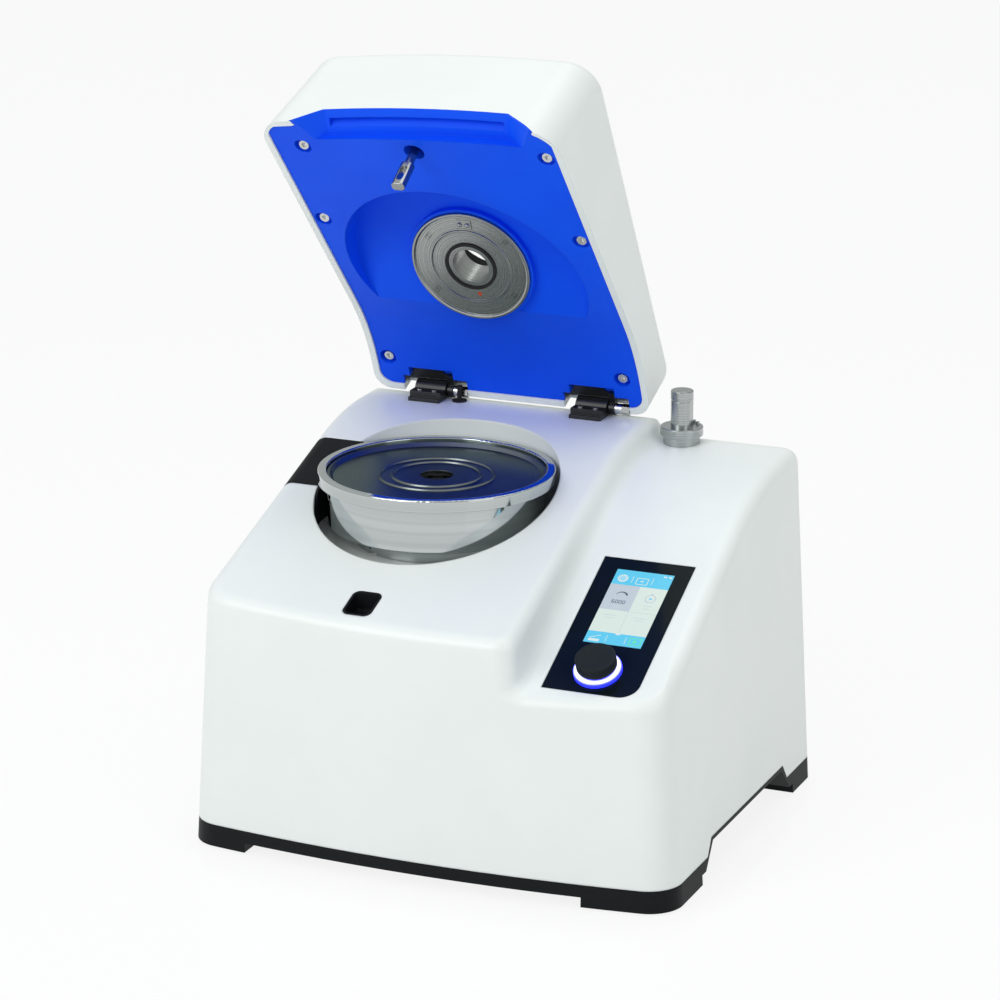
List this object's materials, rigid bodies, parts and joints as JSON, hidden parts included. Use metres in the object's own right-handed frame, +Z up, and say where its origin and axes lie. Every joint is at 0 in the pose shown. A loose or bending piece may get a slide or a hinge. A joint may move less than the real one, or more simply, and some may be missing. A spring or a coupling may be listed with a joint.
{
  "type": "ultra centrifugal mill",
  "caption": "Bench-top centrifugal grinding mill with an open hinged lid over a round steel pan, sloping control console with display and knob.",
  "frame": {"origin": "on the surface the mill stands on, below the middle of its bounding box with the lid open", "axes": "+Z up, -Y towards the user at the front, +X to the user's right"},
  "size_m": [0.4648, 0.4104, 0.6965],
  "materials": {
    "white_shell": "fine satin white moulding",
    "white_lid": "fine satin white moulding",
    "blue_panel": "saturated blue, satin gloss",
    "black_base": "charcoal, fine grain",
    "black_plastic": "black, fine grain",
    "black_rubber": "matt black",
    "polished_steel": "polished stainless steel",
    "satin_steel": "brushed stainless steel",
    "zinc_steel": "plain zinc plated sheet",
    "cast_aluminium": "cast and machined aluminium",
    "core_steel": "laminated sheet",
    "copper_winding": "lacquered copper wire",
    "glass_black": "black back-printed glass",
    "display_face": "lit display",
    "board_green": "circuit board",
    "black_metal": "black painted metal",
    "light_ring": "translucent white, lit"
  },
  "bodies": {
    "housing": {"base_tray": "black_base", "bearings": "satin_steel", "chassis_plate": "zinc_steel", "control_board": "board_green", "display_module": "black_plastic", "display_screen": "display_face", "drive_unit": "black_plastic", "encoder_body": "black_plastic", "fuse_holders": "black_plastic", "glass_panel": "glass_black", "heat_sink": "cast_aluminium", "hinge_blocks": "black_metal", "hinge_screws": "satin_steel", "housing_shell": "white_shell", "knob_light_ring": "light_ring", "lid_stop": "black_rubber", "lock_body": "black_plastic", "lock_funnel": "black_plastic", "lower_end_shield": "cast_aluminium", "mains_filter": "zinc_steel", "motor_frame": "cast_aluminium", "motor_mounts": "black_rubber", "outlet_cover": "black_plastic", "power_inlet": "black_plastic", "rear_panel": "zinc_steel", "rubber_feet": "black_rubber", "stator_core": "core_steel", "stator_windings": "copper_winding", "switch_frame": "black_plastic", "tool_seat": "cast_aluminium", "upper_end_shield": "cast_aluminium", "well_seal": "black_rubber"},
    "lid": {"lid_shell": "white_lid", "lid_panel": "blue_panel", "lid_flange": "satin_steel", "flange_clip": "satin_steel", "bore_seal": "black_rubber", "feed_funnel": "black_plastic", "eye_bolt": "polished_steel", "eye_nut": "satin_steel", "panel_screws": "satin_steel", "hinge_leaves": "black_metal", "hinge_pins": "satin_steel", "hinge_sleeves": "polished_steel", "hinge_nuts": "satin_steel"},
    "spindle": {"motor_shaft": "satin_steel", "armature": "core_steel", "cooling_fan": "black_plastic", "labyrinth_disc": "satin_steel", "grinding_rotor": "satin_steel"},
    "pan": {"pan_bowl": "polished_steel", "ring_sieve": "satin_steel"},
    "cover": {"pan_cover": "satin_steel"},
    "knob_carrier": {"encoder_plunger": "black_plastic"},
    "knob": {"control_knob": "black_plastic", "encoder_spindle": "satin_steel"},
    "tool": {"lifting_tool": "cast_aluminium", "tool_pins": "satin_steel"},
    "switch": {"power_switch": "black_plastic"},
    "hook": {"lock_hook": "satin_steel"}
  },
  "joints": [
    {"name": "lid_hinge", "type": "hinge", "parent": "housing", "child": "lid", "pos_m": [0, 0.16695, 0.345], "axis": [-1, 0, 0], "range_deg": [-68, 0]},
    {"name": "pan_lift", "type": "slide", "parent": "housing", "child": "pan", "axis": [0, 0, 1], "range_m": [0, 0.08]},
    {"name": "cover_lift", "type": "slide", "parent": "pan", "child": "cover", "axis": [0, 0, 1], "range_m": [0, 0.03]},
    {"name": "spindle_spin", "type": "hinge", "parent": "housing", "child": "spindle", "pos_m": [-0.068, -0.00005, 0.2625], "axis": [0, 0, 1], "continuous": true},
    {"name": "knob_push", "type": "slide", "parent": "housing", "child": "knob_carrier", "axis": [0, 0.4415, -0.8973], "range_m": [0, 0.0015], "stiffness_N_per_m": 600, "springref_m": -0.002},
    {"name": "knob_turn", "type": "hinge", "parent": "knob_carrier", "child": "knob", "pos_m": [0.15, -0.15462, 0.20394], "axis": [0, -0.4415, 0.8973], "continuous": true},
    {"name": "tool_lift", "type": "slide", "parent": "housing", "child": "tool", "axis": [0, 0, 1], "range_m": [0, 0.04]},
    {"name": "switch_rock", "type": "hinge", "parent": "housing", "child": "switch", "pos_m": [0.06, 0.19345, 0.084], "axis": [1, 0, 0], "range_deg": [0, 14]},
    {"name": "hook_swing", "type": "hinge", "parent": "housing", "child": "hook", "pos_m": [-0.066, -0.1748, 0.195], "axis": [-1, 0, 0], "range_deg": [0, 24]}
  ]
}
